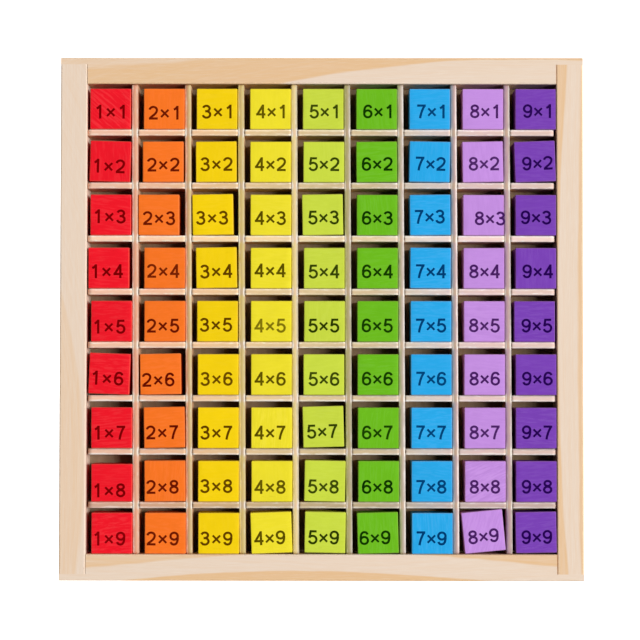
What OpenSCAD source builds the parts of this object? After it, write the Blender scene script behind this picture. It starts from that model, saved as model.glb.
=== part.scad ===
// Multiplication block board: a pine tray with a grid of crossed plywood strips, and one loose
// painted block in each cell. The board lies flat. Columns run along Y and rows along X, and
// row 1 is at the far side, so the tray reads like a table when seen from above.

/* [Blocks] */
// Cells, and so blocks, along each side of the board
cells = 9; // [3:1:9]
// Side of a block
block_side = 18; // [12:0.5:30]
// Width that is taken off each edge of a block
block_bevel = 0.5; // [0.2:0.1:1.5]
// Room across a block in a cell between two strips
cell_room = 2.7; // [1.5:0.1:6]
// Room across a block in a cell that ends at a rail
end_cell_room = 2.05; // [1.5:0.05:5]
// Least gap between a block and what stands beside it
block_gap = 0.1; // [0.1:0.05:0.4]
// Length that is missing from the one block that was sawn short
short_by = 1.4; // [0:0.1:3]

/* [Dividers] */
// Thickness of a plywood strip
strip_t = 2.7; // [2:0.1:5]
// Depth of the strips' tops below the tops of the blocks
strip_drop = 0.2; // [0:0.1:3]
// Least gap between the end of a strip and the rail
strip_end_gap = 0.1; // [0.1:0.1:1]
// Radius of the upper corners of a strip
strip_corner = 1.2; // [0.3:0.1:3]
// Room across a strip in the slot of the strip that it crosses
slot_room = 0.2; // [0.1:0.05:0.5]
// Gap between the ends of two slots that slide over each other
slot_end_gap = 0.2; // [0.1:0.05:0.5]
// Lean of the column strips in degrees, which racks the whole grid
rack = 0.32; // [0:0.02:0.4]

/* [Rails] */
// Width of a rail, seen from above
rail_w = 11.7; // [9:0.1:25]
// Height of the rails above the tops of the blocks
rail_rise = 0.5; // [0.5:0.1:10]
// Radius of the long edges of a rail
rail_round = 0.7; // [0.3:0.1:2]
// Thickness of the tongue that laps over the end of a side rail
tongue_t = 3; // [1.5:0.5:5]
// Gap between a side rail and the shoulder behind the tongue
shoulder_gap = 0.1; // [0.1:0.1:0.6]

/* [Base panel] */
// Thickness of the base panel
panel_t = 2.7; // [2:0.1:6]
// Height of the lips that carry the panel
panel_lift = 3; // [2:0.5:8]
// Depth of the groove in each rail
groove_depth = 5; // [2:0.5:6]
// Gap between the edge of the panel and the end of the groove
groove_end_gap = 0.5; // [0.2:0.1:1]
// Room above the panel in the groove
groove_room = 0.2; // [0.1:0.05:0.5]

/* [Hidden] */
$fn = 48;
// Length of cut that reaches past a face
past = 1;

BLOCK_NAMES = ["red", "orange", "amber", "lemon", "lime", "green", "blue", "lilac", "purple"];
BLOCK_COLOURS = ["#f11a2a", "#fa7a25", "#f4d103", "#f0e031", "#cadd48", "#6ebd1f", "#2babec",
    "#c692e3", "#7b43b7"];

// Blocks lie at the right and near side of their cells, apart from these: column, row, lean
// across and lean towards the far side as shares of the room, and turn in degrees.
ASKEW = [
    [1, 1, 0.6, -1, 0], [3, 1, 0.9, -1, 0], [5, 1, 0.9, -1, 0],
    [1, 2, 0.7, -1, -1.5], [2, 2, 0.6, -1, 0.3], [3, 2, 0.6, -1, 0.5], [6, 2, 1, -1, 0.5],
    [7, 2, 1, -1, -1], [8, 2, 1, -1, 1], [9, 2, 1, -1, 2],
    [1, 3, 0.7, -1, 0], [2, 3, -1, -1, 0], [3, 3, -0.8, -1, 1], [5, 3, 0.6, -1, 1],
    [7, 3, 1, -1, 0.5], [1, 4, -0.3, -1, 0], [3, 4, 0.6, -1, 1], [7, 4, 1, -1, -0.5],
    [3, 5, 0.8, -1, 0], [9, 5, 0.3, -1, 0],
    [1, 6, 0.1, -1, -2], [2, 6, -0.6, -1, 1], [5, 6, 0.7, -1, 0],
    [2, 7, 0.9, -1, 1], [5, 7, 0.5, -0.7, 1.5],
    [2, 8, 1, -1, 0.5], [5, 8, 1, -1, -1],
    [4, 9, 1, -1, 2], [5, 9, 1, -0.6, -1], [6, 9, 0.8, -1, 1.5], [8, 9, 0.7, 0, 5.5],
    [9, 9, 1, -0.5, 1]];
// Column and row of the block that was sawn short
SHORT_BLOCK = [1, 8];

pitch = block_side + cell_room + strip_t;
end_cell = block_side + end_cell_room;
inner = (cells - 2) * pitch + strip_t + 2 * end_cell;
tray = inner + 2 * rail_w;
floor_z = panel_lift + panel_t;
rail_h = floor_z + block_side + rail_rise;
strip_h = block_side - strip_drop;
// A column strip turns as the grid racks, and the row strips slide, so they are shorter
column_strip_l = inner - 2 * strip_end_gap - strip_t * tan(rack);
row_strip_l = inner - 2 * (strip_end_gap + racked(strip_at(cells - 1)));

// Middle of strip i, counted from the left or from the near side
function strip_at(i) = (i - cells / 2) * pitch;
// Sides of cell i, between the strips or rails that bound it
function cell_start(i) = i == 1 ? -inner / 2 : strip_at(i - 1) + strip_t / 2;
function cell_end(i) = i == cells ? inner / 2 : strip_at(i) - strip_t / 2;
// Distance that racking moves the grid to the left at a height y, which the rails don't follow
function racked(y) = y * tan(rack);
function column_start(c, y) = cell_start(c) - (c == 1 ? 0 : racked(y));
function column_end(c, y) = cell_end(c) - (c == cells ? 0 : racked(y));

// How the block in column c and row r lies: lean across, lean towards the far side, turn
function askew(c, r) = [for (a = ASKEW) if (a[0] == c && a[1] == r) a];
function lie(c, r) = len(askew(c, r)) > 0 ? [for (k = [2 : 4]) askew(c, r)[0][k]] : [1, -1, 0];

// Width that a block takes up when it is turned
function turned(along, beside, turn) = along * cos(turn) + beside * abs(sin(turn));
// Middle of a block of this width that leans by a share of the room between start and end
function leaning(start, end, width, lean) =
    (start + end) / 2 + lean * ((end - start - width) / 2 - block_gap);

// Rectangle with its lower left corner at the origin and all four corners rounded
module rounded(w, h, r) {
    translate([r, 0]) square([w - 2 * r, h]);
    translate([0, r]) square([w, h - 2 * r]);
    for (x = [r, w - r], y = [r, h - r]) translate([x, y]) circle(r = r);
}

// Length of rail along +X from the origin, with its width along +Y
module rail(length) {
    rotate([90, 0, 90]) linear_extrude(length) rounded(rail_w, rail_h, rail_round);
}

// Space in the rails that the base panel slides into
module panel_groove() {
    w = inner + 2 * groove_depth;
    translate([-w / 2, -w / 2, panel_lift]) cube([w, w, panel_t + groove_room]);
}

// Full-width rail with a rabbet behind a tongue at each end
module top_rail() {
    shoulder = inner / 2 - shoulder_gap;
    color("#ecd7bd") difference() {
        translate([-tray / 2, inner / 2, 0]) rail(tray);
        for (side = [0, 1]) mirror([side, 0, 0])
            translate([shoulder, inner / 2 - past, -past])
                cube([rail_w + shoulder_gap + past, rail_w - tongue_t + past, rail_h + 2 * past]);
        panel_groove();
    }
}

module bottom_rail() {
    mirror([0, 1, 0]) top_rail();
}

// Rail between the tongues
module left_rail() {
    length = tray - 2 * tongue_t;
    color("#ebd5bb") difference() {
        translate([-inner / 2, -length / 2, 0]) rotate(90) rail(length);
        panel_groove();
    }
}

module right_rail() {
    mirror([1, 0, 0]) left_rail();
}

module base_panel() {
    w = inner + 2 * (groove_depth - groove_end_gap);
    color("#dcc4a0") translate([-w / 2, -w / 2, panel_lift]) cube([w, w, panel_t]);
}

// Side view of a strip, with its middle at x = 0. Slots are cut up from the lower edge, or down
// from the upper edge, where the other strips cross it.
module strip_side(length, slots_from_top) {
    slot_w = strip_t + slot_room;
    slot_h = (strip_h + slot_end_gap) / 2;
    difference() {
        union() {
            translate([-length / 2, 0]) square([length, strip_h - strip_corner]);
            translate([strip_corner - length / 2, 0]) square([length - 2 * strip_corner, strip_h]);
            for (side = [-1, 1])
                translate([side * (length / 2 - strip_corner), strip_h - strip_corner])
                    circle(r = strip_corner);
        }
        for (i = [1 : cells - 1])
            translate([strip_at(i) - slot_w / 2, slots_from_top ? strip_h - slot_h : -past])
                square([slot_w, slot_h + past]);
    }
}

// Strip i from the left, which parts two columns
module column_divider(i) {
    color("#dec4a0") translate([strip_at(i), 0, floor_z]) rotate(rack)
        translate([-strip_t / 2, 0, 0]) rotate([90, 0, 90])
            linear_extrude(strip_t) strip_side(column_strip_l, false);
}

// Strip i from the far side, which parts two rows
module row_divider(i) {
    y = strip_at(cells - i);
    color("#dbc09b") translate([-racked(y), y + strip_t / 2, floor_z])
        rotate([90, 0, 0]) linear_extrude(strip_t) strip_side(row_strip_l, true);
}

// Rectangle about the origin with its four corners cut off
module bevelled(w, h) {
    intersection() {
        square([w, h], center = true);
        rotate(45) square((w + h) / sqrt(2) - block_bevel * sqrt(2), center = true);
    }
}

// Block with all its edges bevelled, standing on z = 0
module block(w, d, h) {
    translate([0, 0, h / 2]) intersection() {
        linear_extrude(h, center = true) bevelled(w, d);
        rotate([90, 0, 0]) linear_extrude(d, center = true) bevelled(w, h);
        rotate([90, 0, 90]) linear_extrude(w, center = true) bevelled(d, h);
    }
}

// The nine blocks of column c
module column_blocks(c) {
    color(BLOCK_COLOURS[c - 1]) for (r = [1 : cells]) {
        pose = lie(c, r);
        depth = block_side - ([c, r] == SHORT_BLOCK ? short_by : 0);
        y = leaning(-cell_end(r), -cell_start(r), turned(depth, block_side, pose[2]), pose[1]);
        x = leaning(column_start(c, y), column_end(c, y),
            turned(block_side, depth, pose[2]), pose[0]);
        translate([x, y, floor_z]) rotate(pose[2]) block(block_side, depth, block_side);
    }
}

top_rail();
bottom_rail();
left_rail();
right_rail();
base_panel();
for (i = [1 : cells - 1]) {
    column_divider(i);
    row_divider(i);
}
for (c = [1 : cells])
    column_blocks(c);
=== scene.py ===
"""Multiplication block board, dressed for rendering.

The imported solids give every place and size. Blocks and strips get detailed meshes of the same
form, the rails and the base panel keep their solids, and all of them get procedural materials.
"""

import math
import random

import bmesh
import bpy
from mathutils import Matrix, Vector, noise


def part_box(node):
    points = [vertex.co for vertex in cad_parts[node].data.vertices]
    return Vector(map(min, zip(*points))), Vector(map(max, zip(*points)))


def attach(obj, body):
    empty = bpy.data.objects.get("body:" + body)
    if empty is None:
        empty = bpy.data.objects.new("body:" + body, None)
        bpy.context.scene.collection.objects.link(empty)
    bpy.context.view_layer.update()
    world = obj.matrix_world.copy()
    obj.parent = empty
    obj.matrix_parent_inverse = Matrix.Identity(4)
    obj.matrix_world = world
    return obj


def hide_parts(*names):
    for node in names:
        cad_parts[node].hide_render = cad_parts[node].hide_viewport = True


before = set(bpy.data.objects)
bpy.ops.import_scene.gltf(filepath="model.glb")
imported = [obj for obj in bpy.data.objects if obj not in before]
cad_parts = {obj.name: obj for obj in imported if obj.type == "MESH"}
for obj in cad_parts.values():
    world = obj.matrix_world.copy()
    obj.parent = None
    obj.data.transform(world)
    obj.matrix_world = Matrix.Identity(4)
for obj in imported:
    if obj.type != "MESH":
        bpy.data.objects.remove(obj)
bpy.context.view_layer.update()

MM = 0.001
COLUMNS = ["red", "orange", "amber", "lemon", "lime", "green", "blue", "lilac", "purple"]
CELLS = len(COLUMNS)

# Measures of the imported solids, in metres. Rack is the lean of the column strips.
COLUMN_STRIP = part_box("column_divider_1")
ROW_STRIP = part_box("row_divider_1")
TRAY_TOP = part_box("top_rail")[1].z
STRIP_TOP = ROW_STRIP[1].z
STRIP_T = ROW_STRIP[1].y - ROW_STRIP[0].y
CELL_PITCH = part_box("column_divider_2")[0].x - COLUMN_STRIP[0].x
RACK = (COLUMN_STRIP[1].x - COLUMN_STRIP[0].x - STRIP_T) / (COLUMN_STRIP[1].y - COLUMN_STRIP[0].y)

# Camera, in metres, degrees and millimetres of lens
CAMERA_DISTANCE = 1.0
CAMERA_TILT = 1.9
CAMERA_ROLL = 0.06
CAMERA_LENS = 128.1
CAMERA_SENSOR = 36.0
CAMERA_NEAR = 0.01
CAMERA_AIM = (-0.00066, -0.0007)

# Light: a soft box far over the right side. Its place and the angles that it fills are in degrees,
# its distance in metres and its strength on a face turned to it in W/m2. The room adds a little.
KEY_AZIMUTH = 4.0
KEY_ELEVATION = 53.0
KEY_DISTANCE = 10.0
KEY_WIDTH = 18.0
KEY_HEIGHT = 34.0
KEY_STRENGTH = 4.12
ROOM_LIGHT = 0.05

# Floor: half its side in metres, its reflection, its two tones, and its glow at the left and the
# right end of a reach in millimetres. The left lights the side away from the key.
FLOOR_HALF = 3.0
FLOOR_ALBEDO = 0.4
FLOOR_TONES = ((0.995, 0.995, 0.995), (1.0, 1.0, 1.0))
FLOOR_GLOW = (1.5, 0.9)
FLOOR_GLOW_REACH = 150.0

# Most that painted blocks and strips reflect of each colour of light. All colours are linear.
LIGHTEST = 0.97

PAINTS = {
    "red": (0.86, 0.006, 0.018),
    "orange": (0.93, 0.175, 0.014),
    "amber": (0.90, 0.62, 0.001),
    "lemon": (0.85, 0.725, 0.022),
    "lime": (0.575, 0.69, 0.052),
    "green": (0.145, 0.485, 0.008),
    "blue": (0.018, 0.385, 0.80),
    "lilac": (0.54, 0.265, 0.73),
    "purple": (0.185, 0.048, 0.445),
}
INKS = {
    "red": (0.170, 0.0003, 0.0006),
    "orange": (0.105, 0.0006, 0.0002),
    "amber": (0.098, 0.035, 0.0002),
    "lemon": (0.083, 0.058, 0.0002),
    "lime": (0.014, 0.030, 0.0002),
    "green": (0.0004, 0.023, 0.0003),
    "blue": (0.0002, 0.037, 0.142),
    "lilac": (0.052, 0.0085, 0.103),
    "purple": (0.0145, 0.0003, 0.072),
}
# Share of paint that shows through where the ink is thin
INK_LET_THROUGH = 0.25

# Corners closer than this are one, in metres, and a side face's normal leans less than this
WELD = 0.001 * MM
UPRIGHT = 0.01

# Blocks: rounded edge and depth of the dents in metres, how uneven the edge is, and the scale of
# the noise for both, for each metre
BLOCK_ROUND = 0.4 * MM
ROUND_STEPS = (0.0, 0.268, 0.577)
FACE_STEPS = 8
ROUND_UNEVEN = 0.35
ROUND_WAVES = 130.0
DENT_DEPTH = 0.05 * MM
DENT_WAVES = 90.0
# Steps in that noise from one column to the next, and from one row to the next
COLUMN_SEED = 7.3
ROW_SEED = 5.1
# Dark rim over the edges, partly bare wood and partly painted shade, how much of it shows and how
# far it spreads, and pale wood that shows through thin paint, partly a painted highlight on ridges
RIM_WOOD_AND_SHADE = (0.42, 0.24, 0.12)
RIM_SHADE_SHARE = 0.35
RIM_SHADE_SPREAD = 1.4
THIN_PAINT_WOOD_AND_HIGHLIGHT = (0.90, 0.75, 0.68)

# How much the brightness of the paint changes with the ridges, soft clouds and specks, and how
# much pale wood shows on the highest ridges: partly wood under thin paint, partly a painted highlight
RIDGE_LIGHT = 0.07
CLOUD_LIGHT = 0.10
SPECK_LIGHT = 0.05
THIN_PAINT_AND_HIGHLIGHT = 0.05

# Wood under the paint: how much the ridges show in each column, how that and the brightness vary,
# the ways that the grain runs and tilts in radians, and the millimetres of wood to draw from
RIDGES = (0.32, 0.25, 0.12, 0.18, 0.24, 0.25, 0.36, 0.36, 0.34)
RIDGE_SPREAD = (0.6, 1.3)
BLOCK_LIGHT = (0.975, 1.015)
GRAIN_TURNS = (0.0, 0.0, math.pi / 2)
GRAIN_WOBBLE = 0.12
GRAIN_TILT = 0.15
WOOD_REACH = 500
WOOD_SEED = 81
# Blocks whose ridges stand out: the angle that they run at, in radians, and how much they show
RIDGED = {(1, 1): (0.7, 0.5), (8, 8): (-0.4, 0.85), (4, 7): (-1.5, 0.4), (8, 9): (-1.2, 0.5)}

# Printed label, in millimetres: digits, the sign, how far the print stands out of the block and
# reaches into it. At a bend a stroke grows to at most so many times its width.
DIGIT_H = 6.1
DIGIT_W = 4.1
STROKE = 0.98
SIGN_SIZE = 3.25
SIGN_STROKE = 0.88
SIGN_Y = 2.75
PRINT_RISE = 0.03
PRINT_SINK = 0.05
BEND_MOST = 2.0
# Most turn of a label on its block, in degrees, and how thin an ordinary print may be
LABEL_TURN = 0.4
THIN_MOST = 0.15
PRINT_SEED = 9

# Places of the labels on the blocks, in millimetres from the middle of a block. They drift evenly
# over the board, as in a print made in one go: the place on block 5x5, and the steps for each
# column and row. The spread is the distance from the sign to the middle of a digit, by column.
MIDDLE_CELL = 5
LABEL_PLACE = (-0.26, -1.97)
COLUMN_STEP = (0.14, 0.04)
ROW_STEP = (-0.12, -0.17)
LABEL_SPREAD = (5.15, 5.05, 5.0, 4.78, 4.75, 4.72, 4.62, 4.64, 4.64)
# Rows, columns and single labels that lie apart from the rest, and labels that printed thinly
ROW_SHIFT = {1: (0.5, -0.1), 2: (0.0, 0.2), 5: (-0.1, -0.2), 8: (0.0, -0.25), 9: (0.1, 0.15)}
COLUMN_SHIFT = {9: (0.4, 0.0)}
LABEL_SHIFT = {
    (1, 2): (-0.2, -1.0), (1, 3): (0.0, 0.8), (1, 4): (-0.3, 0.2), (1, 5): (-0.2, -0.4),
    (1, 8): (0.0, -0.7), (2, 1): (0.0, -0.5), (2, 2): (0.4, -0.2), (2, 3): (0.6, 0.0),
    (2, 4): (0.0, 0.3), (2, 6): (-0.2, -0.5), (3, 2): (0.3, 0.0), (3, 4): (0.3, 0.0),
    (3, 5): (0.0, 0.4), (3, 8): (0.0, 0.4), (4, 4): (-0.1, 0.5), (5, 3): (0.4, 0.1),
    (5, 6): (0.4, -0.1), (6, 9): (-0.8, 0.1), (7, 3): (-0.5, 0.5), (8, 3): (2.5, -0.2),
    (9, 1): (-0.5, 0.1), (9, 3): (-0.8, 0.2), (9, 5): (0.4, -0.1),
}
THIN_PRINT = {(4, 5): 0.6, (1, 9): 0.3, (2, 4): 0.25, (6, 7): 0.2}

# Strips, in metres: length of a station, round upper corners, and half a slot's width. The slots
# of two crossing strips end this far apart.
STATION = 1.0 * MM
STRIP_CORNER = 1.2 * MM
SLOT_HALF = STRIP_T / 2 + 0.1 * MM
SLOT_END_GAP = 0.2 * MM
# Crown on top of a strip, the places across it as shares of the half width, its roughness, and
# the share past which an edge is chipped
CROWN = 0.18 * MM
CROWN_POINTS = (-1.0, -0.8, -0.45, 0.0, 0.45, 0.8, 1.0)
CROWN_ROUGH = 0.05 * MM
CHIPS_FROM = 0.6
# Depth that an upper edge has lost: everywhere, away from the crossings, by fine waves, and in
# chips, where the coarse noise passes a limit
CHIP_LEAST = 0.10 * MM
CHIP_WORN = 0.28 * MM
CHIP_FINE = 0.10 * MM
CHIP_DEEP = 0.75 * MM
CHIP_LIMIT = 0.28
# The edges are worn where no other strip guards them: how far one guards them, and over what
# length the wear sets in
GUARDED = 1.5 * MM
WEAR_REACH = 3.5 * MM
# How far a slot's splinters reach along the strip
SPLINTER_REACH = 3.0 * MM
# Scales of the noise, along a strip for each metre and from its middle to an edge, and its seeds
CHIP_WAVES = (420.0, 31.0)
FINE_WAVES = (1500.0, 17.0)
CROWN_WAVES = (900.0, 7.0)
FINE_SEED = 5.0
STRIP_SEED = 2.7
ROW_STRIP_SEED = 50.0

# Plywood of the strips: pale plies, core, dark streaks, torn fibres, white edges of torn fibres
# and painted highlight, and the sides
PLY_PALE = (0.820, 0.640, 0.480)
PLY_CORE = (0.730, 0.515, 0.350)
PLY_STREAK = (0.60, 0.40, 0.26)
TORN_WOOD = (0.95, 0.87, 0.78)
FRAYED_WOOD_AND_HIGHLIGHT = (0.97, 0.90, 0.83)
STRIP_FACE = (0.70, 0.45, 0.26)

# Tones of a strip's three plies, from the -X or the -Y side to the other, for each strip from the
# left and from the far side
STRIP_TONES = {
    "column": (
        (1.53, 0.92, 0.75), (1.45, 0.72, 0.70), (1.34, 0.77, 0.69), (1.09, 1.10, 0.65),
        (0.88, 0.69, 0.50), (0.91, 0.82, 0.68), (0.77, 0.72, 0.86), (0.66, 0.82, 0.52),
    ),
    "row": (
        (1.19, 1.14, 1.32), (1.13, 1.10, 1.06), (1.30, 1.38, 1.38), (1.26, 1.17, 1.21),
        (1.15, 1.15, 1.24), (1.24, 1.20, 0.90), (1.20, 1.08, 0.82), (0.94, 0.84, 0.92),
    ),
}
# Share of paint that has rubbed off on the two sides of a strip
COLUMN_RUBBED = (
    (0.42, 0.50), (0.62, 0.48), (0.66, 0.5), (0.55, 0.25),
    (0.55, 0.25), (0.5, 0.18), (0.5, 0.3), (0.6, 0.3),
)
ROW_RUBBED = (0.34, 0.34)
# Colour of the paint dust on the row strips, column by column
DUST = (
    (0.85, 0.28, 0.27), (0.85, 0.20, 0.05), (0.72, 0.38, 0.0), (0.48, 0.40, 0.0), (0.22, 0.30, 0.0),
    (0.05, 0.20, 0.0), (0.10, 0.45, 0.80), (0.50, 0.35, 0.75), (0.45, 0.40, 0.65),
)
# Side of each strip whose edge is white, and how much: torn fibres, and on the column strips also
# a painted highlight along the edge that faces the light
FRAYED_AND_HIGHLIGHT = {
    "column": ((1, 0.1), (1, 0.1), (1, 0.0), (1, 0.1), (1, 0.25), (1, 0.45), (1, 0.6), (1, 0.4)),
    "row": ((1, 0.3), (1, 0.3), (1, 0.5), (1, 0.3), (-1, 0.5), (-1, 0.85), (-1, 0.9), (-1, 0.5)),
}

# Pine of the rails: sapwood, heartwood, and the dark and the light fibres
PINE_PALE = (0.815, 0.672, 0.552)
PINE_TAN = (0.780, 0.505, 0.272)
FIBRE_DARK = (0.74, 0.50, 0.31)
FIBRE_LIGHT = (0.93, 0.82, 0.70)
# How far heartwood moves out for each millimetre of depth in a rail
HEARTWOOD_SLANT = 0.55
# For each rail its direction, its zones and its seed. A zone has a, b, c, side, soft edge in
# millimetres and strength, as the pine material takes them.
RAIL_ZONES = {
    "top_rail": ("X", [
        (106.85, 0.169, -0.00094, 1, 0.7, 0.85),
        (118.6, 0.083, 0.0, 1, 1.0, -0.5)], 1.0),
    "bottom_rail": ("X", [
        (-110.9, -0.0092, -0.00062, -1, 0.5, 0.95),
        (-100.6, 0.081, 0.0, 1, 0.6, 0.6),
        (-98.6, -0.097, 0.0, 1, 0.6, 0.75)], 2.0),
    "left_rail": ("Y", [(-111.4, -0.2244, -0.0017, -1, 1.0, 0.32)], 3.0),
    "right_rail": ("Y", [
        (103.7, 0.0, 0.00036, -1, 0.6, 0.7),
        (112.5, 0.0024, 0.00012, 1, 0.7, 0.62)], 4.0),
}

# Base panel: tones and pores above, darkened by painted shade, and how much brighter the underside is
PANEL_PALE_SHADED = (0.380, 0.270, 0.172)
PANEL_TAN_SHADED = (0.300, 0.198, 0.112)
PANEL_PORE_SHADED = (0.28, 0.175, 0.09)
UNSHADED_UNDERSIDE_FACTOR = 1.8

# Height of the finest relief of each finish, in metres, and how much each one shines
PINE_RELIEF = 0.06 * MM
STRIP_RELIEF = 0.12 * MM
PANEL_RELIEF = 0.08 * MM
PAINT_RELIEF = 0.10 * MM
PINE_SHINE = 0.15
PLY_SHINE = 0.06
PAINT_SHINE = 0.08

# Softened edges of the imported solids, in metres, and the least angle of an edge in degrees
SOFT_EDGE = 0.1 * MM
SOFT_EDGE_ANGLE = 60


# Mesh helpers

def new_piece(name, mesh, material, body="root"):
    piece = bpy.data.objects.new(name, mesh)
    bpy.context.scene.collection.objects.link(piece)
    piece.data.materials.append(material)
    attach(piece, body)
    return piece


def mesh_from(name, bm, smooth=True):
    """Turns bm into a mesh. With smooth as None each face keeps its own shading."""
    bmesh.ops.recalc_face_normals(bm, faces=bm.faces)
    for face in bm.faces:
        if smooth is not None:
            face.smooth = smooth
    mesh = bpy.data.meshes.new(name)
    bm.to_mesh(mesh)
    bm.free()
    return mesh


# Shader helpers

class Nodes:
    """A material's node tree, with short calls that add a node and link its inputs."""

    def __init__(self, name):
        self.material = bpy.data.materials.new(name)
        self.material.use_nodes = True
        self.tree = self.material.node_tree
        self.shader = self.tree.nodes["Principled BSDF"]

    def add(self, kind, **settings):
        node = self.tree.nodes.new(kind)
        for key, value in settings.items():
            setattr(node, key, value)
        return node

    def feed(self, socket, value):
        if isinstance(value, bpy.types.NodeSocket):
            self.tree.links.new(value, socket)
        elif value is not None:
            socket.default_value = value

    def math(self, operation, a, b=None, c=None, clamp=False):
        node = self.add("ShaderNodeMath", operation=operation, use_clamp=clamp)
        for socket, value in zip(node.inputs, (a, b, c)):
            self.feed(socket, value)
        return node.outputs[0]

    def plus(self, a, b, clamp=False):
        return self.math("ADD", a, b, clamp=clamp)

    def minus(self, a, b):
        return self.math("SUBTRACT", a, b)

    def times(self, a, b):
        return self.math("MULTIPLY", a, b)

    def times_plus(self, a, b, c):
        return self.math("MULTIPLY_ADD", a, b, c)

    def absolute(self, a):
        return self.math("ABSOLUTE", a)

    def vector(self, *axes):
        """A vector of three values. A pair stands for a value times its scale."""
        node = self.add("ShaderNodeCombineXYZ")
        for socket, axis in zip(node.inputs, axes):
            self.feed(socket, self.times(*axis) if isinstance(axis, tuple) else axis)
        return node.outputs[0]

    def split(self, vector):
        node = self.add("ShaderNodeSeparateXYZ")
        self.feed(node.inputs[0], vector)
        return node.outputs

    def noise(self, vector, scale, detail, roughness=0.5):
        node = self.add("ShaderNodeTexNoise")
        self.feed(node.inputs["Vector"], vector)
        self.feed(node.inputs["Scale"], scale)
        self.feed(node.inputs["Detail"], detail)
        self.feed(node.inputs["Roughness"], roughness)
        return node.outputs["Fac"]

    def smooth(self, value, low, high, to_low=0.0, to_high=1.0):
        node = self.add("ShaderNodeMapRange", interpolation_type="SMOOTHSTEP")
        for socket, number in zip(node.inputs, (value, low, high, to_low, to_high)):
            self.feed(socket, number)
        return node.outputs[0]

    def mix(self, share, a, b):
        node = self.add("ShaderNodeMix", data_type="RGBA")
        self.feed(node.inputs["Factor"], share)
        self.feed(node.inputs["A"], a if isinstance(a, bpy.types.NodeSocket) else (*a, 1.0))
        self.feed(node.inputs["B"], b if isinstance(b, bpy.types.NodeSocket) else (*b, 1.0))
        return node.outputs["Result"]

    def ramp(self, value, colours):
        """Colours that follow each other evenly as the value goes from 0 to 1."""
        node = self.add("ShaderNodeValToRGB")
        stops = node.color_ramp.elements
        stops.remove(stops[1])
        for k, rgb in enumerate(colours):
            place = (k + 0.5) / len(colours)
            stop = stops.new(place) if k > 0 else stops[0]
            stop.position = place
            stop.color = (*rgb, 1.0)
        self.feed(node.inputs["Fac"], value)
        return node.outputs["Color"]

    def scaled(self, colour, factor):
        node = self.add("ShaderNodeVectorMath", operation="SCALE")
        self.feed(node.inputs[0], colour)
        self.feed(node.inputs["Scale"], factor)
        return node.outputs[0]

    def capped(self, colour):
        """The colour with no channel above what wood or paint can reflect."""
        node = self.add("ShaderNodeVectorMath", operation="MINIMUM")
        self.feed(node.inputs[0], colour)
        node.inputs[1].default_value = (LIGHTEST, LIGHTEST, LIGHTEST)
        return node.outputs[0]

    def attribute(self, name, output="Fac"):
        return self.add("ShaderNodeAttribute", attribute_name=name).outputs[output]

    def bump(self, height, distance, strength):
        node = self.add("ShaderNodeBump")
        self.feed(node.inputs["Height"], height)
        self.feed(node.inputs["Distance"], distance)
        self.feed(node.inputs["Strength"], strength)
        self.feed(self.shader.inputs["Normal"], node.outputs[0])

    def finish(self, colour, roughness, specular):
        self.feed(self.shader.inputs["Base Color"], colour)
        self.feed(self.shader.inputs["Roughness"], roughness)
        self.shader.inputs["Specular IOR Level"].default_value = specular
        return self.material


# Materials

def place_mm(n):
    """The place on the piece in millimetres."""
    coordinates = n.add("ShaderNodeTexCoord").outputs["Object"]
    return n.scaled(coordinates, 1.0 / MM)


def pine(name, along, zones, seed):
    """Sanded pine that runs along X or Y. Each zone of tan heartwood lies to one side of a curve
    v = a + b u + c u^2, with u along the rail: a, b, c, the side, its soft edge, its strength. A
    zone with a negative strength, after another, takes tan away."""
    n = Nodes(name)
    x, y, z = n.split(place_mm(n))
    u, v = (x, y) if along == "X" else (y, x)
    depth = n.minus(TRAY_TOP / MM, z)

    # The grain wanders a little, and the heartwood moves out with depth
    drift = n.noise(n.vector((u, 0.03), (v, 0.05), seed), 1.0, 3.0)
    v = n.times_plus(n.minus(drift, 0.5), 1.6, v)
    v = n.times_plus(depth, HEARTWOOD_SLANT, v)

    # Zones of tan heartwood, each one darkest in a line just inside its edge
    tan = None
    rings = None
    for a, b, c, side, soft, strength in zones:
        curve = n.times_plus(n.times_plus(u, c, b), u, a)
        inside = n.times(n.minus(v, curve), side)
        zone = n.smooth(inside, -soft, soft, 0.0, strength)
        if strength < 0:
            tan = n.plus(tan, zone)
            continue
        edge = n.smooth(n.absolute(n.minus(inside, 0.5)), 0.2, 1.0, 0.22 * strength, 0.0)
        zone = n.plus(zone, edge)
        tan = zone if tan is None else n.math("MAXIMUM", tan, zone)
        rings = inside if rings is None else n.math("MINIMUM", rings, inside)

    # Growth rings that follow the zones, and lines and fibres along the rail
    ring = n.noise(n.vector((u, 0.006), rings, seed), 1.0, 3.0, 0.6)
    lines = n.noise(n.vector((u, 0.022), v, (z, 0.8)), 1.15, 3.0, 0.6)
    fibre = n.noise(n.vector((u, 0.12), (v, 4.0), (z, 4.0)), 1.0, 3.0, 0.65)
    shade = n.times_plus(n.plus(lines, ring), 0.6, n.minus(tan, 0.15))
    colour = n.mix(n.smooth(shade, 0.15, 1.55), PINE_PALE, PINE_TAN)
    colour = n.mix(n.smooth(fibre, 0.35, 0.75, 0.0, 0.16), colour, FIBRE_DARK)
    colour = n.mix(n.smooth(fibre, 0.28, 0.50, 0.22, 0.0), colour, FIBRE_LIGHT)
    n.bump(n.times_plus(lines, 0.4, fibre), PINE_RELIEF, 0.5)
    return n.finish(colour, n.smooth(fibre, 0.2, 0.8, 0.55, 0.72), PINE_SHINE)


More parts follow.
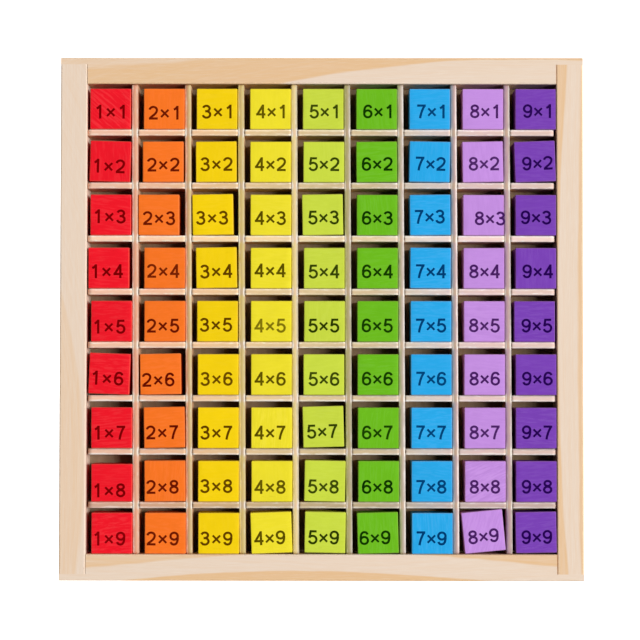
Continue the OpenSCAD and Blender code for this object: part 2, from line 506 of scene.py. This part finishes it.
def strip_ply(name, along, seed, tones, paints, rubbed, frayed_and_highlight):
    """Three-ply strip seen on its cut edge: pale veneers on both sides of a tan core, each with
    its own tone. A little paint has rubbed off on each side from the blocks beside it. One argument
    gives the side whose edge is white, and how much: torn fibres, and on column strips a painted
    highlight."""
    n = Nodes(name)
    x, y, z = n.split(place_mm(n))
    length, width = (y, x) if along == "Y" else (x, y)
    splintered = n.attribute("splintered")
    depth = n.minus(STRIP_TOP / MM, z)
    wander = n.noise(n.vector((length, 0.10), (width, 0.02), seed), 1.0, 3.0, 0.6)
    layer = n.plus(n.attribute("layer"), n.times(n.minus(wander, 0.5), 0.9))
    off_middle = n.absolute(layer)
    core = n.smooth(off_middle, 0.28, 0.62, 1.0, 0.0)
    streak = n.noise(n.vector((length, 0.35), (width, 3.2), (z, 0.5)), 1.0, 4.0, 0.7)
    colour = n.mix(core, PLY_PALE, PLY_CORE)
    colour = n.mix(n.smooth(streak, 0.45, 0.75, 0.0, 0.35), colour, PLY_STREAK)

    # Fibres torn out of the pale plies, more of them near a crossing
    flake = n.noise(n.vector((length, 0.22), width, n.plus(z, seed)), 1.3, 3.0, 0.65)
    flake = n.times_plus(splintered, 0.10, flake)
    torn = n.times(n.smooth(flake, 0.54, 0.66, 0.0, 0.8), n.minus(1.0, core))
    colour = n.mix(torn, colour, TORN_WOOD)

    # Rubbed paint, and the tone of each ply
    kept = n.times(n.smooth(flake, 0.2, 0.6, 1.0, 0.6), n.smooth(splintered, 0.2, 0.8, 1.0, 0.2))
    stain = n.times(n.smooth(layer, -0.7, 0.7, *rubbed), kept)
    if along == "Y":
        across_paints = n.times_plus(layer, 0.5, 0.5)
    else:
        across_paints = n.times_plus(length, MM / (CELLS * CELL_PITCH), 0.5)
    stained = n.mix(stain, colour, n.ramp(across_paints, paints))
    tone = tones[1]
    for side, sign in ((tones[0], -1.0), (tones[2], 1.0)):
        tone = n.plus(n.smooth(n.times(layer, sign), 0.25, 0.75, 0.0, side - tones[1]), tone)
    colour = n.capped(n.scaled(stained, tone))

    # White edges of torn fibres and painted highlight, bare corners beside the crossings, sides below
    side, amount = frayed_and_highlight
    patches = n.noise(n.vector((length, 0.07), seed, 7.0), 1.0, 3.0, 0.6)
    edge = n.smooth(n.times(layer, side), 0.35, 0.8, 0.0, amount)
    fray_and_highlight = n.times(n.smooth(patches, 0.40, 0.56, 0.25, 1.0), edge)
    colour = n.mix(fray_and_highlight, colour, FRAYED_WOOD_AND_HIGHLIGHT)
    bare = n.times(n.smooth(splintered, 0.1, 0.7), n.smooth(off_middle, 0.4, 0.75, 0.0, 0.6))
    colour = n.mix(bare, colour, TORN_WOOD)
    colour = n.mix(n.smooth(depth, 0.9, 2.2), colour, STRIP_FACE)
    n.bump(n.plus(streak, flake), STRIP_RELIEF, 0.6)
    return n.finish(colour, 0.75, PLY_SHINE)


def panel_ply_painted_shade(name):
    """Face of a rotary-cut veneer: broad soft figure along Y, and short pores. The face under
    the blocks is darker than the underside, as painted shade that keeps the gaps between the blocks
    dark."""
    n = Nodes(name)
    x, y, z = n.split(place_mm(n))
    figure = n.noise(n.vector((x, 0.05), (y, 0.008), 3.0), 1.0, 3.0, 0.55)
    rings = n.math("FRACT", n.times(figure, 14.0))
    ring = n.times(n.smooth(rings, 0.0, 0.75), n.smooth(rings, 0.8, 1.0, 1.0, 0.0))
    pores = n.noise(n.vector((x, 3.0), (y, 0.16), (z, 3.0)), 1.0, 3.0, 0.6)
    colour = n.mix(n.times(ring, 0.5), PANEL_PALE_SHADED, PANEL_TAN_SHADED)
    colour = n.mix(n.smooth(pores, 0.55, 0.75, 0.0, 0.5), colour, PANEL_PORE_SHADED)
    # The face above carries painted shade; the underside is brighter by this factor
    colour = n.scaled(colour, n.smooth(z, 3.5, 5.0, UNSHADED_UNDERSIDE_FACTOR, 1.0))
    n.bump(pores, PANEL_RELIEF, 0.5)
    return n.finish(colour, 0.7, PLY_SHINE)


def paint(name, rgb):
    """Thin paint on a sawn block. The wood's ridges show through, more on some blocks."""
    n = Nodes(name)
    grain = n.attribute("grain", "Vector")
    ridge = n.attribute("ridge")
    gx, gy, gz = n.split(grain)
    lines = n.noise(n.vector((gx, 0.12), (gy, 1.25), (gz, 1.25)), 1.0, 3.0, 0.62)
    cloud = n.noise(grain, 0.16, 2.0, 0.5)
    speck = n.noise(grain, 2.6, 2.0, 0.6)
    ridges = n.smooth(lines, 0.36, 0.62, -1.0, 1.0)

    # Brightness, pale ridge tops (thin paint, painted highlight), dark edges (bare wood, painted shade)
    light = n.times_plus(ridges, n.times(ridge, RIDGE_LIGHT), 1.0)
    light = n.times_plus(n.minus(cloud, 0.5), CLOUD_LIGHT, light)
    light = n.times_plus(n.minus(speck, 0.5), SPECK_LIGHT, light)
    light = n.times(light, n.attribute("shade"))
    base = n.add("ShaderNodeRGB")
    base.outputs[0].default_value = (*rgb, 1.0)
    colour = n.capped(n.scaled(base.outputs[0], light))
    # Pale ridge tops: wood under thin paint and a painted highlight
    thin = n.times(n.smooth(ridges, 0.0, 1.0), n.times(ridge, THIN_PAINT_AND_HIGHLIGHT))
    colour = n.mix(thin, colour, THIN_PAINT_WOOD_AND_HIGHLIGHT)
    colour = n.mix(n.times(n.attribute("rim_shade"), RIM_SHADE_SHARE), colour, RIM_WOOD_AND_SHADE)
    n.bump(n.times_plus(n.times(lines, ridge), 1.6, n.times(speck, 0.25)), PAINT_RELIEF, 0.8)
    return n.finish(colour, n.smooth(speck, 0.2, 0.8, 0.50, 0.66), PAINT_SHINE)


def ink(name, rgb, under):
    """Dark print that lets a little of the paint through, a little uneven."""
    n = Nodes(name)
    patchy = n.noise(place_mm(n), 1.4, 3.0, 0.6)
    pale = tuple(INK_LET_THROUGH * p + (1 - INK_LET_THROUGH) * c for p, c in zip(under, rgb))
    share = n.plus(n.smooth(patchy, 0.40, 0.80, 0.0, 0.3), n.attribute("thin"), clamp=True)
    return n.finish(n.mix(share, rgb, pale), n.smooth(patchy, 0.2, 0.8, 0.55, 0.7), 0.0)


def light_table():
    """Plain pale floor that glows on its own, as a light table does."""
    n = Nodes("light_table")
    at = place_mm(n)
    colour = n.mix(n.smooth(n.noise(at, 0.05, 2.0), 0.3, 0.7), *FLOOR_TONES)
    glow = n.smooth(n.split(at)[0], -FLOOR_GLOW_REACH, FLOOR_GLOW_REACH, *FLOOR_GLOW)
    n.feed(n.shader.inputs["Emission Color"], colour)
    n.feed(n.shader.inputs["Emission Strength"], glow)
    return n.finish(n.scaled(colour, FLOOR_ALBEDO), 0.9, 0.0)


# Blocks

def islands(node):
    """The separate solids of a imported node, as (centre, size, turn) with the turn about Z."""
    bm = bmesh.new()
    bm.from_mesh(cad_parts[node].data)
    bmesh.ops.remove_doubles(bm, verts=bm.verts, dist=WELD)
    left = set(bm.verts)
    found = []
    while left:
        reach = [left.pop()]
        group = list(reach)
        while reach:
            for edge in reach.pop().link_edges:
                for vert in edge.verts:
                    if vert in left:
                        left.remove(vert)
                        reach.append(vert)
                        group.append(vert)
        found.append(measured(group))
    bm.free()
    return found


def measured(group):
    """Centre, size and turn of a block from its vertices. Its side face gives the turn."""
    points = [vert.co.copy() for vert in group]
    low_z = min(p.z for p in points)
    high_z = max(p.z for p in points)
    sides = {face for vert in group for face in vert.link_faces if abs(face.normal.z) < UPRIGHT}
    faced = max(sides, key=lambda face: (round(face.calc_area() * 1e9), face.normal.x))
    turn = math.atan2(faced.normal.y, faced.normal.x)
    turn -= round(turn / (math.pi / 2)) * math.pi / 2
    back = Matrix.Rotation(-turn, 3, "Z")
    flat = [back @ p for p in points]
    low = Vector([min(p[k] for p in flat) for k in range(2)])
    high = Vector([max(p[k] for p in flat) for k in range(2)])
    middle = back.inverted() @ Vector((*((low + high) / 2), 0))
    middle.z = (low_z + high_z) / 2
    return middle, Vector((*(high - low), high_z - low_z)), turn


def axis_steps(half, radius):
    """Places along one side of a block, closer together over its rounded edges."""
    core = half - radius
    edge = [core + radius * s for s in ROUND_STEPS] + [half]
    inner = [core * (2.0 * k / FACE_STEPS - 1.0) for k in range(1, FACE_STEPS)]
    return [-e for e in reversed(edge)] + inner + edge


def block_mesh(name, size, seed):
    """A sawn block with rounded, slightly uneven edges and faces, centred on its origin."""
    half = size / 2
    steps = [axis_steps(h, BLOCK_ROUND) for h in half]
    bm = bmesh.new()
    verts = {}

    def vert(p):
        key = tuple(round(c * 1e7) for c in p)
        if key not in verts:
            radius = BLOCK_ROUND * (1.0 + ROUND_UNEVEN * noise.noise(p * ROUND_WAVES + seed))
            core = Vector([max(-h + radius, min(h - radius, c)) for h, c in zip(half, p)])
            out = p - core
            place = core + out.normalized() * radius if out.length > 0 else p.copy()
            dent = 0.5 + 0.5 * noise.noise(p * DENT_WAVES - seed)
            verts[key] = bm.verts.new(place - place.normalized() * dent * DENT_DEPTH)
        return verts[key]

    for axis in range(3):
        a, b = (axis + 1) % 3, (axis + 2) % 3
        for side in (-1, 1):
            for i in range(len(steps[a]) - 1):
                for j in range(len(steps[b]) - 1):
                    corners = []
                    for di, dj in ((0, 0), (1, 0), (1, 1), (0, 1)):
                        p = Vector((0, 0, 0))
                        p[axis] = side * half[axis]
                        p[a] = steps[a][i + di]
                        p[b] = steps[b][j + dj]
                        corners.append(vert(p))
                    bm.faces.new(corners)
    return mesh_from(name, bm)


def rim_at(point, half):
    """Dark rim at a point of a block, bare wood and painted shade: none on its faces, all on its edges.
    """
    past_core = [max(0.0, abs(p) - h + BLOCK_ROUND) / BLOCK_ROUND for p, h in zip(point, half)]
    return min(1.0, RIM_SHADE_SPREAD * sorted(past_core)[1])


def add_wood_data(mesh, half, rng, turn_grain, amount):
    """Gives a block its own place in the wood, and how much its ridges and its paint differ."""
    names = ("grain", "ridge", "shade", "rim_shade")
    for name in names:
        mesh.attributes.new(name, "FLOAT_VECTOR" if name == "grain" else "FLOAT", "POINT")
    grain, ridge, shade, rim_shade = (mesh.attributes[name].data for name in names)
    tilt = rng.uniform(-GRAIN_TILT, GRAIN_TILT)
    spin = Matrix.Rotation(turn_grain, 3, "Z") @ Matrix.Rotation(tilt, 3, "Y")
    shift = Vector([rng.uniform(-WOOD_REACH, WOOD_REACH) for _ in range(3)])
    light = rng.uniform(*BLOCK_LIGHT)
    for index, point in enumerate(mesh.vertices):
        grain[index].vector = spin @ (point.co / MM) + shift
        ridge[index].value = amount
        shade[index].value = light
        # Dark rim over the edges: bare wood and painted shade
        rim_shade[index].value = rim_at(point.co, half)


def make_blocks():
    """One piece for each block. Returns where each block lies, by (column, row)."""
    places = {}
    rng = random.Random(WOOD_SEED)
    for c, colour in enumerate(COLUMNS, start=1):
        node = f"{colour}_blocks"
        material = paint(f"{colour}_paint", PAINTS[colour])
        found = sorted(islands(node), key=lambda block: -block[0].y)
        for r, (middle, size, turn) in enumerate(found, start=1):
            seed = Vector((c * COLUMN_SEED, r * ROW_SEED, c + r))
            mesh = block_mesh(f"block_{c}x{r}", size, seed)
            grain_turn = rng.choice(GRAIN_TURNS) + rng.uniform(-GRAIN_WOBBLE, GRAIN_WOBBLE)
            amount = RIDGES[c - 1] * rng.uniform(*RIDGE_SPREAD)
            add_wood_data(mesh, size / 2, rng, *RIDGED.get((c, r), (grain_turn, amount)))
            mesh.transform(Matrix.Translation(middle) @ Matrix.Rotation(turn, 4, "Z"))
            piece = new_piece(f"block_{c}x{r}", mesh, material)
            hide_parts(node)
            places[c, r] = (middle, size, turn)
    return places


# Printed labels. A stroke is a list of points along its middle, in millimetres.

def arc(cx, cy, rx, ry, start, end, steps=18):
    """Points on an ellipse from one angle to another, in degrees."""
    angles = [math.radians(start + (end - start) * k / steps) for k in range(steps + 1)]
    return [(cx + rx * math.cos(a), cy + ry * math.sin(a)) for a in angles]


def bend(p0, p1, p2, steps=10):
    """Points on a curve from p0 to p2 that heads for p1."""
    shares = [k / steps for k in range(steps + 1)]
    return [
        tuple((1 - t) ** 2 * a + 2 * t * (1 - t) * b + t * t * c for a, b, c in zip(p0, p1, p2))
        for t in shares
    ]


def digit_strokes():
    """The strokes of each sign. True after a stroke closes it into a ring."""
    h = STROKE / 2
    top = DIGIT_H - h
    right = DIGIT_W - h
    mid = DIGIT_W / 2
    stem = mid + 0.5
    six_tail = bend((3.55, 4.55), (3.25, top), (2.15, top)) + bend((2.15, top), (h, top), (h, 2.55))[1:]
    nine_tail = [(DIGIT_W - x, DIGIT_H - y) for x, y in six_tail]
    s = SIGN_SIZE / 2
    return {
        "1": [([(stem, 0), (stem, DIGIT_H)], False),
              (bend((stem, DIGIT_H - 0.25), (stem - 0.35, 5.0), (stem - 1.55, 4.45)), False)],
        "2": [(arc(mid - 0.02, 4.22, 1.6, top - 4.22, 172, -20)
               + bend((3.53, 3.7), (3.2, 2.7), (1.9, 1.75))[1:]
               + bend((1.9, 1.75), (0.75, 0.95), (0.55, h))[1:], False),
              ([(0.15, h), (DIGIT_W - 0.1, h)], False)],
        "3": [(arc(mid - 0.1, 4.42, 1.42, top - 4.42, 165, -90)
               + [(1.45, 3.12)], False),
              ([(1.45, 3.2)] + arc(mid - 0.05, 1.79, 1.62, 1.41, 90, -168), False)],
        "4": [([(3.0, 0), (3.0, DIGIT_H)], False),
              ([(0.0, 1.78), (DIGIT_W, 1.78)], False),
              ([(0.42, 1.6), (2.95, DIGIT_H - 0.42)], False)],
        "5": [([(3.75, top), (1.05, top)], False),
              ([(1.22, DIGIT_H - 0.05), (0.72, 2.75)], False),
              (bend((0.6, 2.85), (1.2, 3.62), (2.1, 3.62), 8)
               + arc(2.1, 2.0, 1.62, 1.62, 90, -165)[1:], False)],
        "6": [(six_tail, False),
              (arc(mid + 0.02, 2.0, mid + 0.02 - h, 2.0 - h, 0, 360, 30)[:-1], True)],
        "7": [([(0.2, top), (DIGIT_W - 0.15, top)], False),
              (bend((right - 0.05, top + 0.1), (1.95, 3.2), (1.5, 0)), False)],
        "8": [(arc(mid, 4.52, 1.36, top - 4.52, 0, 360, 28)[:-1], True),
              (arc(mid, 1.80, mid - h, 1.80 - h, 0, 360, 28)[:-1], True)],
        "9": [(nine_tail, False),
              (arc(mid - 0.02, DIGIT_H - 2.0, mid + 0.02 - h, 2.0 - h, 0, 360, 30)[:-1], True)],
        "x": [([(-s, -s), (s, s)], False), ([(-s, s), (s, -s)], False)],
    }


def stroke_mesh(points, closed, width):
    """A flat ribbon along the points, as thick as the print."""
    bm = bmesh.new()
    count = len(points)
    path = [Vector(p) * MM for p in points]
    sections = []
    for k, p in enumerate(path):
        before = path[k - 1] if closed or k > 0 else p
        after = path[(k + 1) % count] if closed or k < count - 1 else p
        back = (p - before).normalized() if (p - before).length > 0 else (after - p).normalized()
        ahead = (after - p).normalized() if (after - p).length > 0 else back
        way = (back + ahead).normalized()
        side = Vector((-way.y, way.x)) / max(1 / BEND_MOST, way.dot(ahead))
        reach = side * width * MM / 2
        section = []
        for q, z in ((p + reach, 0.0), (p + reach, 1.0), (p - reach, 1.0), (p - reach, 0.0)):
            section.append(bm.verts.new((q.x, q.y, (PRINT_RISE * z - PRINT_SINK * (1 - z)) * MM)))
        sections.append(section)
    for k in range(count if closed else count - 1):
        a, b = sections[k], sections[(k + 1) % count]
        for i in range(4):
            bm.faces.new((a[i], a[(i + 1) % 4], b[(i + 1) % 4], b[i]))
    if not closed:
        bm.faces.new(reversed(sections[0]))
        bm.faces.new(sections[-1])
    return mesh_from("stroke", bm, smooth=False)


def joined(meshes):
    """The union of closed meshes as one closed mesh."""
    objects = [bpy.data.objects.new("stroke", mesh) for mesh in meshes]
    for item in objects:
        bpy.context.scene.collection.objects.link(item)
    base = objects[0]
    for other in objects[1:]:
        join = base.modifiers.new("join", "BOOLEAN")
        join.operation = "UNION"
        join.solver = "EXACT"
        join.object = other
    graph = bpy.context.evaluated_depsgraph_get()
    mesh = bpy.data.meshes.new_from_object(base.evaluated_get(graph))
    for item in objects:
        bpy.data.objects.remove(item)
    return mesh


def label_place(c, r):
    """Where the sign of a label lies, in millimetres from the middle of its block."""
    none = (0, 0)
    shifts = (ROW_SHIFT.get(r, none), COLUMN_SHIFT.get(c, none), LABEL_SHIFT.get((c, r), none))
    return [
        LABEL_PLACE[k] + (c - MIDDLE_CELL) * COLUMN_STEP[k] + (r - MIDDLE_CELL) * ROW_STEP[k]
        + sum(shift[k] for shift in shifts)
        for k in range(2)
    ]


def make_prints(places):
    """One printed label on each block: column, sign, row."""
    signs = {
        key: joined([
            stroke_mesh(points, closed, SIGN_STROKE if key == "x" else STROKE)
            for points, closed in strokes
        ])
        for key, strokes in digit_strokes().items()
    }
    inks = {colour: ink(f"{colour}_ink", INKS[colour], PAINTS[colour]) for colour in COLUMNS}
    rng = random.Random(PRINT_SEED)
    for (c, r), (middle, size, turn) in places.items():
        colour = COLUMNS[c - 1]
        top = middle.z + size.z / 2
        x, y = label_place(c, r)
        spread = LABEL_SPREAD[c - 1]
        bm = bmesh.new()
        layout = ((str(c), -spread - DIGIT_W / 2, -SIGN_Y), ("x", 0.0, 0.0),
                  (str(r), spread - DIGIT_W / 2, -SIGN_Y))
        for key, dx, dy in layout:
            sign = signs[key].copy()
            sign.transform(Matrix.Translation(((x + dx) * MM, (y + dy) * MM, 0)))
            bm.from_mesh(sign)
            bpy.data.meshes.remove(sign)
        spin = turn + math.radians(rng.uniform(-LABEL_TURN, LABEL_TURN))
        bm.transform(Matrix.Translation((middle.x, middle.y, top)) @ Matrix.Rotation(spin, 4, "Z"))
        mesh = mesh_from(f"print_{c}x{r}", bm, smooth=False)
        thin = mesh.attributes.new("thin", "FLOAT", "POINT")
        amount = THIN_PRINT.get((c, r), rng.uniform(0.0, THIN_MOST))
        for item in thin.data:
            item.value = amount
        new_piece(f"print_{c}x{r}", mesh, inks[colour])


# Strips

def crossings_of(along, across):
    """Where the other strips cross a strip that runs along X or Y, with its middle at across."""
    kind, lean = ("row", 0.0) if along == "Y" else ("column", RACK)
    run = "XY".index(along)
    middles = [sum(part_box(f"{kind}_divider_{k}"), Vector()) / 2 for k in range(1, CELLS)]
    return sorted(m[run] - lean * (across - m[1 - run]) for m in middles)


def stations_of(start, end, slots):
    """Places along a strip about a station apart, with one on each side of each slot."""
    cuts = sorted({v for slot in slots for v in slot} | {start, end})
    stations = []
    for a, b in zip(cuts, cuts[1:]):
        count = max(1, round((b - a) / STATION))
        stations += [a + (b - a) * k / count for k in range(count)]
    return stations + [end]


def strip_mesh(name, node, along, slots_on_top, seed):
    """A plywood strip with chipped upper edges and its slots, made station by station.

    Each station has a lower part, up to the slots' end, and an upper part. Where another strip
    crosses, one of the two is missing."""
    low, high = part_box(node)
    run = "XY".index(along)
    wide = 1 - run
    start, end = low[run], high[run]
    half = STRIP_T / 2
    across = (low[wide] + high[wide]) / 2
    lean = (high[wide] - low[wide] - STRIP_T) / (end - start)
    slot_end = (low.z + high.z) / 2 + (-1 if slots_on_top else 1) * SLOT_END_GAP / 2
    crossings = crossings_of(along, across)
    slots = [(c - SLOT_HALF, c + SLOT_HALF) for c in crossings]
    stations = stations_of(start, end, slots)

    def crossed(a, b):
        return any(s <= (a + b) / 2 <= e for s, e in slots)

    def nearest_crossing(s):
        return min(abs(s - c) for c in crossings)

    def top_at(s):
        reach = STRIP_CORNER - min(s - start, end - s)
        if reach <= 0:
            return high.z
        return high.z - STRIP_CORNER + math.sqrt(max(0.0, STRIP_CORNER ** 2 - reach ** 2))

    def uneven(s, side, waves, seed_shift=0.0):
        return noise.noise(Vector((s * waves[0], side * waves[1], seed + seed_shift)))

    def chip(s, side):
        """How deep an upper edge is worn and chipped, with side -1 or 1."""
        rough = uneven(s, side, CHIP_WAVES)
        fine = uneven(s, side, FINE_WAVES, FINE_SEED)
        clear = min(1.0, max(0.0, nearest_crossing(s) - GUARDED) / WEAR_REACH)
        worn = CHIP_LEAST + CHIP_WORN * clear + CHIP_FINE * fine
        return worn + CHIP_DEEP * max(0.0, rough - CHIP_LIMIT)

    def outline_at(s):
        """The strip's section at a station, as pairs of an offset from its middle and a height."""
        top = top_at(s)
        chips = {side: chip(s, side) for side in (-1, 1)}
        crown = []
        for share in CROWN_POINTS:
            near_edge = max(0.0, abs(share) - CHIPS_FROM) / (1 - CHIPS_FROM)
            chipped = chips[1 if share > 0 else -1] * near_edge
            rough = min(0.0, CROWN_ROUGH * uneven(s, share, CROWN_WAVES))
            crown.append((share * half, top - CROWN * share ** 2 - chipped + rough))
        return [(-half, low.z), (-half, slot_end), *crown, (half, slot_end), (half, low.z)]

    def point(s, offset, z):
        place = Vector((0, 0, z))
        place[run] = s
        place[wide] = across - lean * (s - (start + end) / 2) + offset
        return bm.verts.new(place)

    bm = bmesh.new()
    layer = bm.verts.layers.float.new("layer")
    splintered = bm.verts.layers.float.new("splintered")
    sections = []
    for s in stations:
        outline = outline_at(s)
        section = [point(s, offset, z) for offset, z in outline]
        for vert, (offset, z) in zip(section, outline):
            vert[layer] = offset / half
            vert[splintered] = max(0.0, 1.0 - nearest_crossing(s) / SPLINTER_REACH)
        sections.append(section)

    last = len(sections[0]) - 1
    was_cut = False
    for i, (a, b) in enumerate(zip(sections, sections[1:])):
        cut = crossed(stations[i], stations[i + 1])
        lower = not cut or slots_on_top
        upper = not cut or not slots_on_top
        spans = []
        if lower:
            spans += [(0, 1), (last - 1, last), (last, 0)]
        if upper:
            spans += [(k, k + 1) for k in range(1, last - 1)]
        if cut:
            spans.append((last - 1, 1) if upper else (1, last - 1))
        for j, k in spans:
            face = bm.faces.new((a[j], a[k], b[k], b[j]))
            face.smooth = 2 <= j < k <= last - 2
        if cut != was_cut:
            wall = a[1:last] if slots_on_top else [a[0], a[1], a[last - 1], a[last]]
            bm.faces.new(wall)
        was_cut = cut
    bm.faces.new(sections[0])
    bm.faces.new(sections[-1])
    return mesh_from(name, bm, smooth=None)


def make_strips():
    for k in range(1, CELLS):
        for kind, along, on_top in (("column", "Y", False), ("row", "X", True)):
            node = f"{kind}_divider_{k}"
            seed = k * STRIP_SEED + (ROW_STRIP_SEED if on_top else 0.0)
            if kind == "column":
                paints = [PAINTS[colour] for colour in COLUMNS[k - 1:k + 1]]
                rubbed = COLUMN_RUBBED[k - 1]
            else:
                paints = DUST
                rubbed = ROW_RUBBED
            tones = STRIP_TONES[kind][k - 1]
            frayed_and_highlight = FRAYED_AND_HIGHLIGHT[kind][k - 1]
            material = strip_ply(f"{kind}_ply_{k}", along, seed, tones, paints, rubbed, frayed_and_highlight)
            mesh = strip_mesh(f"{kind}_strip_{k}", node, along, on_top, seed)
            piece = new_piece(f"{kind}_strip_{k}", mesh, material)
            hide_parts(node)


# Rails and base panel

def dress_node(node, material):
    """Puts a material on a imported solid, and softens its sharp edges."""
    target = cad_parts[node]
    if not target.material_slots:
        target.data.materials.append(material)
    for material_slot in target.material_slots:
        material_slot.material = material
    soften = target.modifiers.new("soften", "BEVEL")
    soften.width = SOFT_EDGE
    soften.segments = 2
    soften.limit_method = "ANGLE"
    soften.angle_limit = math.radians(SOFT_EDGE_ANGLE)


def make_tray():
    for node, (along, zones, seed) in RAIL_ZONES.items():
        dress_node(node, pine(f"{node}_pine", along, zones, seed))
    dress_node("base_panel", panel_ply_painted_shade("panel_ply_painted_shade"))


# Floor, light and camera

def make_floor():
    bm = bmesh.new()
    bmesh.ops.create_grid(bm, x_segments=8, y_segments=8, size=FLOOR_HALF)
    floor = bpy.data.objects.new("floor", mesh_from("floor", bm))
    bpy.context.scene.collection.objects.link(floor)
    floor.data.materials.append(light_table())


def make_light():
    world = bpy.data.worlds.new("studio")
    world.use_nodes = True
    world.node_tree.nodes["Background"].inputs["Color"].default_value = (1.0, 1.0, 1.0, 1.0)
    world.node_tree.nodes["Background"].inputs["Strength"].default_value = ROOM_LIGHT
    bpy.context.scene.world = world
    data = bpy.data.lights.new("key", "AREA")
    data.shape = "RECTANGLE"
    data.size = 2.0 * KEY_DISTANCE * math.tan(math.radians(KEY_WIDTH / 2))
    data.size_y = 2.0 * KEY_DISTANCE * math.tan(math.radians(KEY_HEIGHT / 2))
    data.energy = KEY_STRENGTH * math.pi * KEY_DISTANCE ** 2
    key = bpy.data.objects.new("key", data)
    key.rotation_euler = (math.radians(90.0 - KEY_ELEVATION), 0, math.radians(90.0 + KEY_AZIMUTH))
    key.location = key.rotation_euler.to_matrix() @ Vector((0, 0, KEY_DISTANCE))
    bpy.context.scene.collection.objects.link(key)
    view = bpy.context.scene.view_settings
    view.view_transform = "Standard"
    view.look = "None"


def make_camera():
    data = bpy.data.cameras.new("camera")
    data.lens = CAMERA_LENS
    data.sensor_width = CAMERA_SENSOR
    data.clip_start = CAMERA_NEAR
    camera = bpy.data.objects.new("camera", data)
    tilt = math.radians(CAMERA_TILT)
    aim = Vector((*CAMERA_AIM, TRAY_TOP))
    camera.location = aim + Vector((0, -math.sin(tilt), math.cos(tilt))) * CAMERA_DISTANCE
    camera.rotation_euler = (tilt, 0, math.radians(CAMERA_ROLL))
    bpy.context.scene.collection.objects.link(camera)
    bpy.context.scene.camera = camera


make_camera()
make_light()
make_floor()
make_tray()
make_strips()
make_prints(make_blocks())

bpy.context.view_layer.update()
